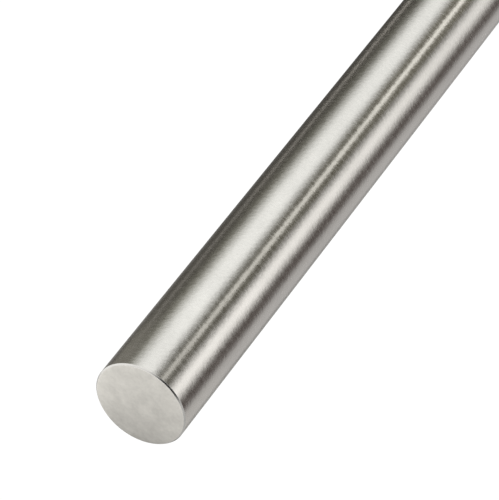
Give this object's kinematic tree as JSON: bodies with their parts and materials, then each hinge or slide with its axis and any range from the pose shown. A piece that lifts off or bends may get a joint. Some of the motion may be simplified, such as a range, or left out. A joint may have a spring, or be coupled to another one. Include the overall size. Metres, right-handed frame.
{
  "type": "round bar",
  "caption": "Short cut length of solid round stainless steel bar with a bright ground surface, flat matte cut ends and lightly broken end edges, standing on one end.",
  "frame": {"origin": "on the floor that the bar stands on, at the middle of its lower end", "axes": "+Z along the bar, up towards the end that the picture shows"},
  "size_m": [0.0254, 0.0254, 0.3048],
  "materials": {
    "ground_steel": "bright centreless ground surface with fine marks around the bar, satin cut ends"
  },
  "bodies": {
    "root": {"round_bar": "ground_steel"}
  },
  "joints": []
}
